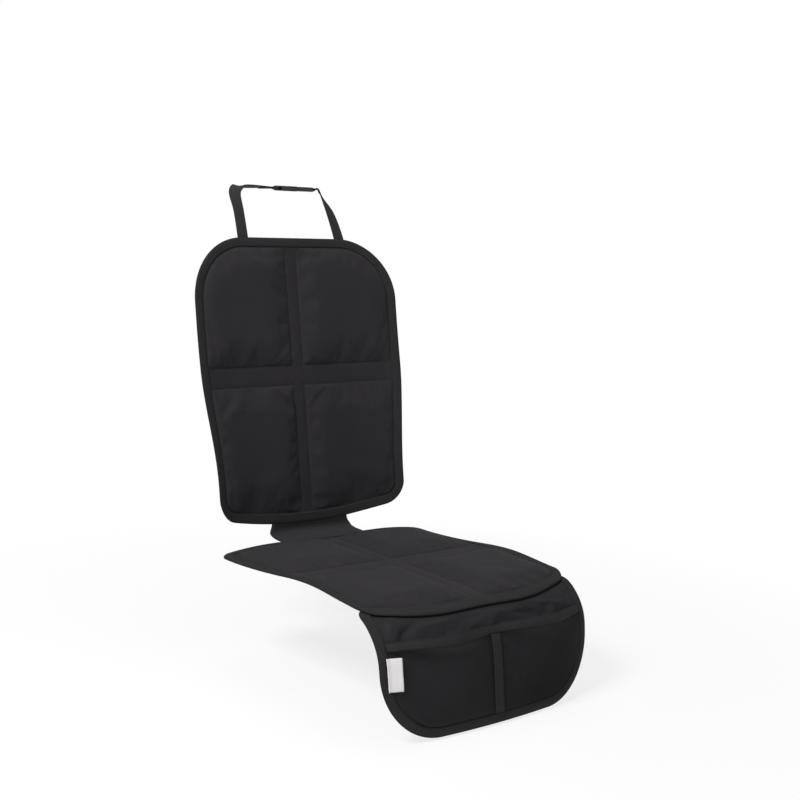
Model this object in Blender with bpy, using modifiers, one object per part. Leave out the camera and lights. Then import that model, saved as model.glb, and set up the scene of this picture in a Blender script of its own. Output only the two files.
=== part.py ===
# Car seat protector mat, hanging in the shape it takes on a car seat: a quilted back, a narrow
# waist through the crease of the seat, a quilted seat, and a front flap with two net pockets.
# Two webbing straps meet in a side release buckle behind the headrest posts.
# Metres, +Z up. The origin is the middle of the underside of the seat panel, which is level.
# Places on the mat are (x, run): x is across it, and run is the way along the cloth from the
# crease of the seat, upwards on the back and negative over the seat and down the flap.

import math

import bmesh
import bpy
from mathutils import Vector

# The seat that the mat lies on
crease_y = 0.27  # the crease of the seat, behind the origin
recline = math.radians(10.2)  # of the seat back, from upright
crease_radius = 0.015
seat_flat = 0.451  # level length, from the crease to where the front rounds over
front_radius = 0.093
front_turn = math.radians(81.2)  # the flap hangs a little forward of plumb

# The mat
half_width = 0.236
back_low, back_high = 0.044, 0.583  # runs of the back panel's two ends
back_low_radius, back_high_radius = 0.040, 0.126
seat_low, seat_high = -0.4895, -0.062
seat_low_radius, seat_high_radius = 0.033, 0.020
flap_low, flap_tuck = -0.7080, 0.024  # the flap runs this far under the seat panel
flap_radius = 0.112
waist_half_width = 0.096

pad_full, pad_thin, channel_thin = 0.012, 0.0024, 0.004
puff_reach = 0.035  # how far from a seam a pad reaches its full thickness
channel_half_width = 0.014  # of the stitched channel up the middle
back_channel = (0.2905, 0.3305)  # runs of the channel across the back
seat_channel = (-0.288, -0.252)
back_channel_x = -0.005  # the channel up the back is sewn a little to the left
flap_thick = 0.0025
flap_lift = -0.004

# Edge binding: tape folded over the edge of each panel
tape_depth = 0.018
tape_thick = 0.0012
tape_gap = 0.0023  # from the middle of the panel to the inner face of the tape
tape_edge = 0.0012
panel_inset = 0.0035
pad_middle = 0.0035  # lift of the middle of a pad's edge
flap_middle = flap_lift + flap_thick / 2
seam_gap = 0.0006
pad_clear = 0.0015  # the pads swell up this far inside the tape's inner edge

# Shape that the seat gives to the cloth
seam_bow = 0.018  # the front seam lies further forward in the middle
bottom_bow = 0.0255  # the back's lower edge dips in the middle
plan_bulge = 0.0186  # the seat's front is rounded, seen from above
front_wave = 0.006  # the front seam and the pockets' mouths sag between the seams
flap_twist = 0.006  # the flap's right side hangs further back
curl_start, curl_high, curl_low = 0.100, 0.0103, 0.0159
side_taper, side_spread = 0.067, 0.009  # the lower back is drawn in, the upper back stretched
level_half_width = 0.120  # the seat panel is level over this much of its width
side_crest, crest_run, crest_length = 0.008, -0.34, 0.085  # over the side of the seat
side_droop = 0.010  # at the rear corners
rear_shift, top_shift = 0.009, 0.0036  # to the left

# Net pockets
hem_run = -0.5450
hem_depth = 0.014
hem_gap, hem_thick = 0.0013, 0.0009
net_thick = 0.0008
net_middle = flap_lift + flap_thick + 0.0028
pocket_swell = 0.019
divider_half_width, divider_thick = 0.010, 0.001
label_size = (0.0245, 0.0525)
label_inset = 0.0125  # its side is sewn over the inner edge of the binding
label_thick = 0.0006

# Straps and buckle
strap_x = 0.1131
strap_shift = 0.005
strap_tops = (-0.1125, 0.096)  # the right strap leans in toward the buckle
strap_turns = (((1, 0, 0), (0.94, -0.30, 0)), ((0.97, 0.25, 0), (0.66, 0.75, 0)))  # at half and near the top
strap_half_width, strap_thick = 0.012, 0.0014
strap_lift = -0.0022
strap_sewn = 0.045
loop_y, loop_z = 0.4193, 0.671  # the line of the webbing behind the headrest posts
buckle_half_width = 0.0165
socket_ends = (-0.006, 0.0305)
plug_ends = (0.031, 0.068)
bar_width, bar_half_height = 0.0038, 0.0018
slot_width, slot_half_length = 0.005, 0.0128
bar_clear = 0.0004
layer_space = 0.0011  # half the space between the middles of the two sewn layers

for old in list(bpy.data.objects):
    bpy.data.objects.remove(old, do_unlink=True)

mat_parts = bpy.data.collections.new("car_seat_protector_mat")
bpy.context.scene.collection.children.link(mat_parts)
cutters = bpy.data.collections.new("cutters")
bpy.context.scene.collection.children.link(cutters)
cutters.hide_render = True


def material(name, colour, roughness):
    made = bpy.data.materials.new(name)
    made.use_nodes = True
    shader = made.node_tree.nodes["Principled BSDF"]
    shader.inputs["Base Color"].default_value = (*colour, 1)
    shader.inputs["Roughness"].default_value = roughness
    shader.inputs["Metallic"].default_value = 0
    made.diffuse_color = (*colour, 1)
    return made


cloth = material("mat_cloth", (0.024, 0.022, 0.024), 0.85)
tape = material("binding_tape", (0.017, 0.016, 0.017), 0.8)
net = material("pocket_net", (0.02, 0.02, 0.022), 0.8)
webbing = material("strap_webbing", (0.026, 0.025, 0.027), 0.7)
plastic = material("buckle_plastic", (0.012, 0.012, 0.012), 0.4)
label = material("blank_label", (0.82, 0.8, 0.8), 0.75)


def ramp(value, start, end):
    """0 at start and before, 1 at end and beyond, smooth between."""
    share = min(max((value - start) / (end - start), 0), 1)
    return share * share * (3 - 2 * share)


def seat_line(run):
    """Side view of the seat: y, z and the lean of its outward normal from upright."""
    turn = math.pi / 2 - recline
    corner = crease_radius * math.tan(turn / 2)
    if run > corner:
        return crease_y + math.sin(recline) * run, math.cos(recline) * run, turn
    if run > -corner:
        lean = turn * (run + corner) / (2 * corner)
        y = crease_y - corner + crease_radius * math.sin(lean)
        return y, crease_radius * (1 - math.cos(lean)), lean
    front = crease_y - seat_flat
    if run > -seat_flat:
        return crease_y + run, 0, 0
    lean = min((-run - seat_flat) / front_radius, front_turn)
    rest = -run - seat_flat - lean * front_radius
    y = front - front_radius * math.sin(lean) - rest * math.cos(lean)
    z = -front_radius * (1 - math.cos(lean)) - rest * math.sin(lean)
    return y, z, lean


def fold(x, run, place, along, size):
    """A soft ridge in the cloth: its place, the way it runs and its (length, width, height)."""
    way = math.radians(along)
    dx, dr = x - place[0], run - place[1]
    far = (dx * math.cos(way) + dr * math.sin(way)) / size[0]
    off = (dr * math.cos(way) - dx * math.sin(way)) / size[1]
    return size[2] * math.exp(-far * far - off * off)


flap_folds = (
    ((-0.196, -0.530), 62, (0.040, 0.012, 0.0045)),
    ((-0.165, -0.520), 48, (0.045, 0.014, -0.0035)),
    ((-0.020, -0.528), 12, (0.070, 0.013, 0.0040)),
    ((0.090, -0.520), -10, (0.060, 0.013, -0.0035)),
    ((0.165, -0.535), 30, (0.045, 0.014, 0.0035)),
)
back_folds = (
    ((-0.020, 0.345), 35, (0.030, 0.010, 0.0015)),
    ((0.045, 0.270), -50, (0.035, 0.011, 0.0015)),
    ((-0.150, 0.275), 70, (0.030, 0.012, 0.0015)),
)


def on_mat(x, run, lift=0.0):
    """The place in space of (x, run), lifted off the seat by lift."""
    bow = 1 - (x / half_width) ** 2
    if run < 0:
        fade = ramp(-run, -seat_low, 0.520) * ramp(half_width - abs(x), tape_depth, 0.050)
        lift += fade * sum(fold(x, run, *each) for each in flap_folds)
        side = max(abs(x) - level_half_width, 0) / (half_width - level_half_width)
        crest = math.exp(-(((run - crest_run) / crest_length) ** 2))
        lift += side * side * (side_crest * crest - side_droop * ramp(-run, 0.30, 0.08))
        forward = plan_bulge * bow * ramp(-run, 0.20, seat_flat)
        forward -= flap_twist * x / half_width * ramp(-run, -seat_low, -flap_low)
        wave = front_wave / 2 * math.cos(2 * math.pi * x / half_width)
        wave *= ramp(-run, 0.36, -seat_low) * ramp(-run, -flap_low, -hem_run)
        x -= rear_shift * ramp(-run, 0.45, 0.05) * ramp(-run, 0, 0.05)
        rise = ramp(-run, 0.25, -seat_low) * ramp(-run, -hem_run, -seat_low)
        run += wave - seam_bow * bow * rise
    else:
        lift += sum(fold(x, run, *each) for each in back_folds)
        beyond = max(abs(x) - curl_start, 0) / 0.1
        curl = curl_high + (curl_low - curl_high) * ramp(run, 0.42, 0.12)
        lift += curl * beyond * beyond
        dip = min(run / back_low, 1) * ramp(run, 0.14, back_low)
        x *= 1 + side_spread * ramp(run, 0.15, 0.40)
        x *= 1 - side_taper * ramp(run, 0.33, 0.10) * ramp(run, 0, back_low)
        x -= top_shift * ramp(run, 0, back_high)
        forward = 0
        run -= bottom_bow * bow * dip
    y, z, lean = seat_line(run)
    return Vector((x, y - forward - lift * math.sin(lean), z + lift * math.cos(lean)))


def round_corner(x, run, panel):
    """Moves a point of a plain rectangle so that the rectangle's corners are rounded."""
    low, high, low_radius, high_radius, half = panel
    upper = run > (low + high) / 2
    radius = high_radius if upper else low_radius
    across = abs(x) - half + radius
    along = (run - high if upper else low - run) + radius
    if min(across, along) <= 0:
        return x, run
    reach = max(across, along)
    angle = math.pi / 4 * min(across, along) / reach
    near, far = reach * math.sin(angle), reach * math.cos(angle)
    across, along = (far, near) if across > along else (near, far)
    x = math.copysign(across + half - radius, x)
    return x, (high - radius + along if upper else low + radius - along)


def evenly(start, end, count):
    return [start + (end - start) * n / count for n in range(count + 1)]


def pad_marks(low, high, step=0.05):
    """Marks from seam to seam, close together where a pad swells up from a seam."""
    near = (0, 0.005, 0.014, puff_reach)
    count = max(1, round((high - low - 2 * puff_reach) / step))
    inner = evenly(low + puff_reach, high - puff_reach, count)[1:-1]
    return [low + n for n in near] + inner + [high - n for n in reversed(near)]


def add(name, mesh, look, smooth=True):
    for face in mesh.polygons:
        face.use_smooth = smooth
    made = bpy.data.objects.new(name, mesh)
    mesh.materials.append(look)
    mat_parts.objects.link(made)
    return made


def sheet(name, columns, rows, place, look, loop=False, swell=None):
    """An open sheet: a grid with one line of corners for each column mark and row mark.

    swell(column, row), if given, is kept at each corner as its share of the full thickness.
    """
    work = bmesh.new()
    wide, tall = len(columns) - 1, len(rows) - 1
    bmesh.ops.create_grid(work, x_segments=wide, y_segments=tall, size=0.5)
    shares = work.verts.layers.deform.verify() if swell else None
    for corner in work.verts:
        column = columns[round((corner.co.x + 0.5) * wide)]
        row = rows[round((corner.co.y + 0.5) * tall)]
        corner.co = place(column, row)
        if swell:
            corner[shares][0] = swell(column, row)
    if loop:
        bmesh.ops.remove_doubles(work, verts=work.verts, dist=1e-5)
    mesh = bpy.data.meshes.new(name)
    work.to_mesh(mesh)
    work.free()
    made = add(name, mesh, look)
    if swell:
        made.vertex_groups.new(name="swell")
    return made


def thicken(made, thickness, offset=1.0):
    solid = made.modifiers.new("thickness", "SOLIDIFY")
    solid.thickness = thickness
    solid.offset = offset
    if made.vertex_groups:
        solid.vertex_group = made.vertex_groups[0].name
    else:
        solid.use_even_offset = True
    return made


def pad_thickness(x, run, panel, channel, middle):
    """Thin at the binding and in the stitched channels, full between them."""
    low, high, _, _, half = panel
    edge = min(half - abs(x), run - low, high - run) - tape_depth - pad_clear
    if edge <= 0:
        return pad_thin
    seam = max(abs(x - middle) - channel_half_width, 0)
    seam = min(seam, max(channel[0] - run, run - channel[1], 0))
    swell = 1
    for distance, thin in ((edge, pad_thin), (seam, channel_thin)):
        share = 1 - min(distance / puff_reach, 1)
        swell *= thin / pad_full + (1 - thin / pad_full) * math.sqrt(1 - share * share)
    return max(pad_full * swell, pad_thin)


def quilted_pad(name, panel, channel, middle):
    low, high, _, _, half = panel
    inner = tape_depth + pad_clear
    rows = [low + panel_inset]
    rows += pad_marks(low + inner, channel[0]) + pad_marks(channel[1], high - inner)
    rows += [high - panel_inset]
    left = pad_marks(channel_half_width - middle, half - inner) + [half - panel_inset]
    right = pad_marks(channel_half_width + middle, half - inner) + [half - panel_inset]
    columns = [-mark for mark in reversed(left)] + right
    edge_lift = pad_middle - pad_thin / 2

    def place(x, run):
        edge = min(half - abs(x), run - low, high - run)
        lift = edge_lift * (1 - ramp(edge, inner, inner + 0.020))
        return on_mat(*round_corner(x, run, panel), lift)

    def share(x, run):
        return pad_thickness(x, run, panel, channel, middle) / pad_full

    thicken(sheet(name, columns, rows, place, cloth, swell=share), pad_full)


def outline(panel, sides, ends, steps, top=True):
    """Points (x, run) round a panel with the way out of it at each, in order to the left."""
    low, high, low_radius, high_radius, half = panel
    points = []

    def line(start, end, out, count):
        for share in evenly(0, 1, count)[1:-1]:
            middle = [a + (b - a) * share for a, b in zip(start, end)]
            points.append((*middle, *out))

    def arc(x, run, radius, start):
        for angle in evenly(start, start + 90, steps):
            way = (math.cos(math.radians(angle)), math.sin(math.radians(angle)))
            points.append((x + radius * way[0], run + radius * way[1], *way))

    low_x, high_x = half - low_radius, half - high_radius
    right = ((half, low + low_radius), (half, high - high_radius))
    left = [(-x, run) for x, run in reversed(right)]
    if not top:
        points.append((-half, high, -1, 0))
        line(left[0], left[1], (-1, 0), sides)
    arc(-low_x, low + low_radius, low_radius, 180)
    line((-low_x, low), (low_x, low), (0, -1), ends)
    arc(low_x, low + low_radius, low_radius, 270)
    line(right[0], right[1], (1, 0), sides)
    if not top:
        points.append((half, high, 1, 0))
        return points
    arc(high_x, high - high_radius, high_radius, 0)
    line((high_x, high), (-high_x, high), (0, 1), ends)
    arc(-high_x, high - high_radius, high_radius, 90)
    line(left[0], left[1], (-1, 0), sides)
    return points + points[:1]


def folded_tape(name, path, middle, gap, thick, depth, look, loop=False):
    """Tape folded over an edge. middle(x, run) is the lift of what it grips."""
    edge = min(tape_edge, gap)
    section = ((depth, gap), (edge + gap / 2, gap), (edge, 0), (edge + gap / 2, -gap), (depth, -gap))

    def place(across, along):
        x, run, out_x, out_run = along
        inward, lift = across
        x, run = x - out_x * inward, run - out_run * inward
        return on_mat(x, run, middle(x, run) + lift)

    tape_sheet = sheet(name, section, path, place, look, loop)
    return thicken(tape_sheet, thick)


back_panel = (back_low, back_high, back_low_radius, back_high_radius, half_width)
seat_panel = (seat_low, seat_high, seat_low_radius, seat_high_radius, half_width)
flap_panel = (flap_low, seat_low - seam_gap, flap_radius, 0, half_width)

quilted_pad("back_pad", back_panel, back_channel, back_channel_x)
quilted_pad("seat_pad", seat_panel, seat_channel, 0)


def at_pad(x, run):
    return pad_middle


def at_flap(x, run):
    return flap_middle


back_edge = outline(back_panel, 9, 12, 6)
seat_edge = outline(seat_panel, 8, 14, 5)
flap_edge = outline(flap_panel, 10, 8, 6, top=False)
folded_tape("back_binding", back_edge, at_pad, tape_gap, tape_thick, tape_depth, tape, loop=True)
folded_tape("seat_binding", seat_edge, at_pad, tape_gap, tape_thick, tape_depth, tape, loop=True)
folded_tape("flap_binding", flap_edge, at_flap, tape_gap, tape_thick, tape_depth, tape)

# The waist runs through the crease, between the two bindings.
waist_rows = [seat_high + seam_gap, -0.030] + evenly(-0.014, 0.030, 8) + [back_low - 2 * seam_gap]
waist = sheet(
    "waist_strip",
    evenly(-waist_half_width, waist_half_width, 4),
    waist_rows,
    lambda x, run: on_mat(x, run, 0.0015),
    cloth,
)
thicken(waist, flap_thick)

# One net over the whole flap, parted into two pockets by the tape down its middle
net_half_width = half_width - tape_depth - seam_gap
net_low = flap_low + tape_depth + seam_gap
net_high = hem_run - 0.002
net_panel = (net_low, 0, flap_radius - tape_depth, 0, net_half_width)
half_net = [divider_half_width + 0.001] + evenly(divider_half_width + 0.001, net_half_width, 9)[1:]
net_columns = [-mark for mark in reversed(half_net)] + half_net

# The flap, whose upper edge is tucked under the seat panel's front
flap_inner = half_width - panel_inset
flap_columns = [-flap_inner] + net_columns + [flap_inner]
flap_rows = evenly(flap_low + panel_inset, -0.590, 6)[:-1] + evenly(-0.590, seat_low + flap_tuck, 11)
flap_cloth = (flap_low, 0, flap_radius, 0, half_width)
flap = sheet(
    "front_flap",
    flap_columns,
    flap_rows,
    lambda x, run: on_mat(*round_corner(x, run, flap_cloth), flap_lift),
    cloth,
)
thicken(flap, flap_thick)


def swell(x, run):
    """How far a pocket stands open: most in the middle of its mouth."""
    across = (abs(x) - divider_half_width) / (net_half_width - divider_half_width)
    across = min(max(across, 0), 1)
    up = min(max((run - net_low) / (hem_run - net_low), 0), 1)
    return pocket_swell * math.sin(math.pi * across) * math.sin(math.pi / 2 * up)


def at_net(x, run):
    return net_middle + swell(x, run)


def net_place(x, run):
    x, run = round_corner(x, run, net_panel)
    return on_mat(x, run, at_net(x, run) - net_thick / 2)


net_rows = evenly(net_low, hem_run - hem_depth, 7) + [net_high]
pocket_net = sheet("pocket_net", net_columns, net_rows, net_place, net)
thicken(pocket_net, net_thick)

hem_path = [(x, hem_run, 0, 1) for x in reversed(net_columns)]
folded_tape("pocket_hem", hem_path, at_net, hem_gap, hem_thick, hem_depth, tape)

divider_lift = net_middle + net_thick / 2 + 0.0004
divider = sheet(
    "pocket_divider",
    [-divider_half_width, 0, divider_half_width],
    evenly(net_low, hem_run - hem_depth - seam_gap, 7),
    lambda x, run: on_mat(x, run, divider_lift),
    tape,
)
thicken(divider, divider_thick)

label_left = -half_width + label_inset
label_top = hem_run - hem_depth - 0.010
blank = sheet(
    "blank_label",
    evenly(label_left, label_left + label_size[0], 4),
    evenly(label_top - label_size[1], label_top, 4),
    lambda x, run: on_mat(x, run, at_net(x, run) + net_thick / 2 + 0.0006),
    label,
)
thicken(blank, label_thick)


def smooth_line(stops, steps):
    """A smooth line of (place, way across) through the stops."""
    line = []
    for n in range(len(stops) - 1):
        near = [stops[min(max(n + k, 0), len(stops) - 1)] for k in (-1, 0, 1, 2)]
        for share in evenly(0, 1, steps)[:-1]:
            mixed = []
            for a, b, c, d in zip(*near):
                curve = b * 2 + (c - a) * share + (a * 2 - b * 5 + c * 4 - d) * share**2
                mixed.append((curve + (b * 3 - a - c * 3 + d) * share**3) / 2)
            line.append(mixed)
    return line + [list(stops[-1])]


def strap(name, side, top_x, bar_x, tail, turns):
    """Webbing from behind the back panel up to the headrest, across, and round a buckle's bar."""
    sewn_x = side * strap_x + strap_shift
    sewn = [on_mat(sewn_x, back_high + rise, strap_lift) for rise in (-strap_sewn, -0.012, 0.004)]
    across, flat = Vector((1, 0, 0)), Vector((0, side, 0))
    toward = -side
    top = Vector((top_x, loop_y, loop_z))
    flat_from = min(0.027, abs(bar_x - top_x) * 0.45)  # past the top, where the webbing lies flat
    flat_to = min(0.020, abs(bar_x - top_x) * 0.40)  # before the bar
    stops = [(place, across) for place in sewn]
    stops += [
        (sewn[-1].lerp(top, 0.5) + Vector((0, -0.0045, 0)), Vector(turns[0])),
        (sewn[-1].lerp(top, 0.85) + Vector((toward * 0.002, 0, 0)), Vector(turns[1])),
        (top + Vector((toward * flat_from * 0.4, -0.002, -0.001)), Vector((0.45, 0.80 * side, 0.35 * side))),
        (top + Vector((toward * flat_from, 0, layer_space)), flat),
        (Vector((bar_x - toward * flat_to, loop_y, loop_z + layer_space)), flat),
    ]
    line = smooth_line(stops, 4)
    # Over the bar, round its far side through the slot, and back underneath to a sewn tail
    reach = bar_half_height + bar_clear + strap_thick / 2
    start = bar_x + toward * bar_width / 2
    line.append((Vector((bar_x - toward * 0.006, loop_y, loop_z + reach)), flat))
    for angle in evenly(90, -90, 6):
        way = math.radians(angle)
        place = Vector((start + toward * reach * math.cos(way), loop_y, loop_z + reach * math.sin(way)))
        line.append((place, flat))
    line.append((Vector((bar_x - toward * 0.006, loop_y, loop_z - reach)), flat))
    for share in (0.75, 1):
        place = Vector((bar_x - toward * tail * share, loop_y, loop_z - layer_space))
        line.append((place, flat))

    def place_corner(edge, n):
        place, way = line[n]
        along = line[min(n + 1, len(line) - 1)][0] - line[max(n - 1, 0)][0]
        along.normalize()
        way = way - along * way.dot(along)
        return place + way.normalized() * edge * strap_half_width

    ribbon = sheet(name, (-1, 1), range(len(line)), place_corner, webbing)
    return thicken(ribbon, strap_thick, offset=0)


strap("strap_left", -1, strap_tops[0], socket_ends[0] + bar_width / 2, 0.042, strap_turns[0])
strap("strap_right", 1, strap_tops[1], plug_ends[1] - bar_width / 2, 0.014, strap_turns[1])


def block(name, ends, home, look=None, round_edge=0.0):
    """A box between two corners given from the buckle's line, with rounded edges if wanted."""
    work = bmesh.new()
    bmesh.ops.create_cube(work, size=1)
    low, high = Vector(ends[0]), Vector(ends[1])
    for corner in work.verts:
        share = corner.co + Vector((0.5, 0.5, 0.5))
        spot = [a + (b - a) * s for a, b, s in zip(low, high, share)]
        corner.co = Vector(spot) + Vector((0, loop_y, loop_z))
    mesh = bpy.data.meshes.new(name)
    work.to_mesh(mesh)
    work.free()
    made = bpy.data.objects.new(name, mesh)
    home.objects.link(made)
    if look:
        mesh.materials.append(look)
    if round_edge:
        soft = made.modifiers.new("rounded", "BEVEL")
        soft.width = round_edge
        soft.segments = 2
    if home is cutters:
        made.hide_render = True
        made.display_type = "WIRE"
    return made


def combine(made, other, operation):
    joint = made.modifiers.new(other.name, "BOOLEAN")
    joint.operation = operation
    joint.solver = "EXACT"
    joint.object = other


def cut(made, name, low, high):
    combine(made, block(name, (low, high), cutters), "DIFFERENCE")


def webbing_end(made, end, inward):
    """Leaves a bar at the end of a buckle half, with a slot behind it for the webbing."""
    slot_start, slot_end = end + inward * bar_width, end + inward * (bar_width + slot_width)
    past = end - inward * 0.002
    for side in (-1, 1):
        near, far = sorted((side * bar_half_height, side * 0.007))
        low_x, high_x = sorted((past, slot_end))
        cut(made, f"{made.name}_recess", (low_x, -slot_half_length, near), (high_x, slot_half_length, far))
    low_x, high_x = sorted((slot_start, slot_end))
    cut(made, f"{made.name}_slot", (low_x, -slot_half_length, -0.007), (high_x, slot_half_length, 0.007))


wide = buckle_half_width
socket = block(
    "buckle_socket",
    ((socket_ends[0], -wide, -0.005), (socket_ends[1], wide, 0.005)),
    mat_parts,
    plastic,
    0.0018,
)
webbing_end(socket, socket_ends[0], 1)
cut(socket, "socket_cavity", (0.006, -0.0135, -0.003), (0.033, 0.0135, 0.003))
for side in (-1, 1):
    low_y, high_y = sorted((side * 0.0118, side * 0.019))
    cut(socket, "socket_window", (0.011, low_y, -0.007), (0.023, high_y, 0.007))

plug = block(
    "buckle_plug",
    ((plug_ends[0], -wide, -0.0045), (plug_ends[1], wide, 0.0045)),
    mat_parts,
    plastic,
    0.0016,
)
webbing_end(plug, plug_ends[1], -1)
prongs = [((0.010, -0.0025, -0.0022), (0.036, 0.0025, 0.0022))]
for side in (-1, 1):
    low_y, high_y = sorted((side * 0.0072, side * 0.0112))
    prongs.append(((0.0135, low_y, -0.0024), (0.0361, high_y, 0.0024)))
    low_y, high_y = sorted((side * 0.0073, side * 0.0175))
    prongs.append(((0.0116, low_y, -0.0025), (0.0224, high_y, 0.0025)))
for number, ends in enumerate(prongs):
    combine(plug, block(f"plug_prong_{number}", ends, cutters, round_edge=0.0006), "UNION")
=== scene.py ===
import math

import bmesh
import bpy
from mathutils import Matrix, Vector, noise


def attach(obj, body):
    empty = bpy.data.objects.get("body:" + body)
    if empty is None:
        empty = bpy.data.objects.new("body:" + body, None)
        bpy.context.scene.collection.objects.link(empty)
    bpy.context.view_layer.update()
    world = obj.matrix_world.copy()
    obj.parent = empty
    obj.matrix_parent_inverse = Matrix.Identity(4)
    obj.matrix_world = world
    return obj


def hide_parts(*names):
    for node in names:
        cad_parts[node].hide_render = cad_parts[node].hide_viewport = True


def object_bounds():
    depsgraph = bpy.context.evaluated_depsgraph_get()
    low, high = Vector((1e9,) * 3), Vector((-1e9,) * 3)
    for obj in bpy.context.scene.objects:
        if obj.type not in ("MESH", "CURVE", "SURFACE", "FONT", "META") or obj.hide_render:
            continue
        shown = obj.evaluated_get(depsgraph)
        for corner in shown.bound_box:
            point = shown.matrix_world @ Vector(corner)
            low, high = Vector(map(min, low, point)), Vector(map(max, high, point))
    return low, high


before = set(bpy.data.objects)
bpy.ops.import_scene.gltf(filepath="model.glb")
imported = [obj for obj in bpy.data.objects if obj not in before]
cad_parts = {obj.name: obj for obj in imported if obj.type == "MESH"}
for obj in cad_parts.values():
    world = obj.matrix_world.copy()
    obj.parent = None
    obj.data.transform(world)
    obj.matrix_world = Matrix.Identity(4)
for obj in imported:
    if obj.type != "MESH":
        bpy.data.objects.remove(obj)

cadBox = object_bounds()
print("frame loaded")

# Side profile: the back panel leans back from the crease, and the front rounds off into the flap
profile = {
    "creaseY": 0.27,
    "recline": math.radians(10.2),
    "creaseRadius": 0.015,
    "flatLength": 0.451,
    "frontRadius": 0.093,
    "frontTurn": math.radians(81.2),
}

# Places on the mat are (x, run): run goes up the back panel from the crease, and is
# negative forward over the seat panel and down the flap.
mat = {
    "halfWidth": 0.236,
    "tapeDepth": 0.018,  # of the folded tape round each panel
    "backLow": 0.044,
    "backHigh": 0.583,
    "backCorners": (0.040, 0.126),  # radii at the low and the high end
    "seatLow": -0.4895,
    "seatHigh": -0.062,
    "seatCorners": (0.033, 0.020),
    "flapLow": -0.708,
    "flapCorner": 0.112,
    "flapTuck": 0.028,  # the flap runs this far under the seat panel
    "tuckCorner": 0.034,
    "hemRun": -0.545,  # the pockets' mouth
    "seamBow": 0.018,  # of the seat panel's front edge, in the middle
    "bottomBow": 0.0255,  # of the back panel's lower edge
    "planBulge": 0.0186,  # the front stands out this much in the middle
    "frontWave": 0.006,
    "flapTwist": 0.006,
    "curlStart": 0.100,  # past this x the back panel's sides curl forward
    "curlReach": 0.1,  # this far past it they have risen by curlHigh or curlLow
    "curlHigh": 0.0103,
    "curlLow": 0.0159,
    "curlRuns": (0.42, 0.12),  # from the one to the other
    "sideTaper": 0.067,  # the back panel is narrower low down
    "taperRuns": (0.33, 0.10),
    "sideSpread": 0.009,
    "spreadRuns": (0.15, 0.40),
    "levelHalfWidth": 0.120,  # past this x the seat panel's sides rise and droop
    "sideCrest": 0.008,
    "crestRun": -0.34,
    "crestLength": 0.085,
    "sideDroop": 0.010,
    "droopRuns": (-0.30, -0.08),
    "rearShift": 0.009,
    "shiftRuns": (-0.45, -0.05),
    "topShift": 0.0036,
}

# Each fold is its place, the angle that it runs at, and its length, breadth and rise
flapFolds = (
    ((-0.196, -0.530), 62, (0.040, 0.012, 0.0045)),
    ((-0.165, -0.520), 48, (0.045, 0.014, -0.0035)),
    ((-0.020, -0.528), 12, (0.070, 0.013, 0.0040)),
    ((0.090, -0.520), -10, (0.060, 0.013, -0.0035)),
    ((0.165, -0.535), 30, (0.045, 0.014, 0.0035)),
)
backFolds = (
    ((-0.020, 0.345), 35, (0.030, 0.010, 0.0015)),
    ((0.045, 0.270), -50, (0.035, 0.011, 0.0015)),
    ((-0.150, 0.275), 70, (0.030, 0.012, 0.0015)),
)


def ramp(value, start, end):
    # from 0 at start to 1 at end, eased at both
    share = min(max((value - start) / (end - start), 0), 1)
    return share * share * (3 - 2 * share)


def evenly(start, end, count):
    return [start + (end - start) * n / count for n in range(count + 1)]


def sideLine(run):
    # y, z and the lean of the outward normal, this far along the profile
    creaseY, recline, radius = profile["creaseY"], profile["recline"], profile["creaseRadius"]
    turn = math.pi / 2 - recline
    corner = radius * math.tan(turn / 2)
    if run > corner:
        return creaseY + math.sin(recline) * run, math.cos(recline) * run, turn
    if run > -corner:
        lean = turn * (run + corner) / (2 * corner)
        return creaseY - corner + radius * math.sin(lean), radius * (1 - math.cos(lean)), lean
    past, radius = -run - profile["flatLength"], profile["frontRadius"]
    if past < 0:
        return creaseY + run, 0, 0
    lean = min(past / radius, profile["frontTurn"])
    rest = past - lean * radius
    y = creaseY - profile["flatLength"] - radius * math.sin(lean) - rest * math.cos(lean)
    return y, -radius * (1 - math.cos(lean)) - rest * math.sin(lean), lean


def foldLift(x, run, place, along, size):
    way = math.radians(along)
    dx, dr = x - place[0], run - place[1]
    far = (dx * math.cos(way) + dr * math.sin(way)) / size[0]
    off = (dr * math.cos(way) - dx * math.sin(way)) / size[1]
    return size[2] * math.exp(-far * far - off * off)


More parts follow.
